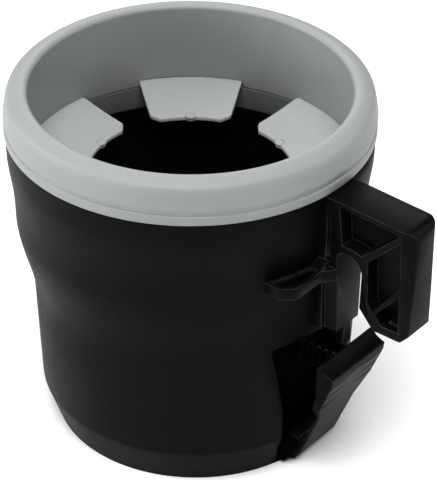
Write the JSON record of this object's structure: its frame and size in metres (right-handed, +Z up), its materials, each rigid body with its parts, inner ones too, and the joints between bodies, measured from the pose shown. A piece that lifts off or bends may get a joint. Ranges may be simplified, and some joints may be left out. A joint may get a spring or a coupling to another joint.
{
  "type": "watercraft cup holder",
  "caption": "Round cup holder with a soft flap grip inside a hard rim, a moulded hook that hangs over a panel edge, and a sprung latch lever below it",
  "frame": {"origin": "on the axis of the mouth, in the plane of the flat base", "axes": "+Z up through the mouth, +X towards the hook, +Y completes the right-handed frame"},
  "size_m": [0.153, 0.1204, 0.121],
  "materials": {
    "black_plastic": "moulded black polypropylene with a fine satin grain",
    "bracket_plastic": "glass-filled black nylon, satin, with slight sheen along the edges",
    "lever_plastic": "black acetal, satin",
    "grey_plastic": "cool light grey moulded plastic, satin",
    "grey_rubber": "soft grey thermoplastic rubber, matt",
    "steel": "stainless steel"
  },
  "bodies": {
    "holder": {"cup_body": "black_plastic", "rim_ring": "grey_plastic", "grip_insert": "grey_rubber", "hook_bracket": "bracket_plastic", "bracket_screws": "steel", "hinge_pin": "steel", "lever_spring": "steel"},
    "latch": {"latch_lever": "lever_plastic"}
  },
  "joints": [
    {"name": "latch_hinge", "type": "hinge", "parent": "holder", "child": "latch", "pos_m": [0.0508, 0, 0.0075], "axis": [0, -1, 0], "range_deg": [0, 13], "stiffness_Nm_per_rad": 0.6, "springref_deg": -8.59, "deforming": ["lever_spring"]}
  ]
}
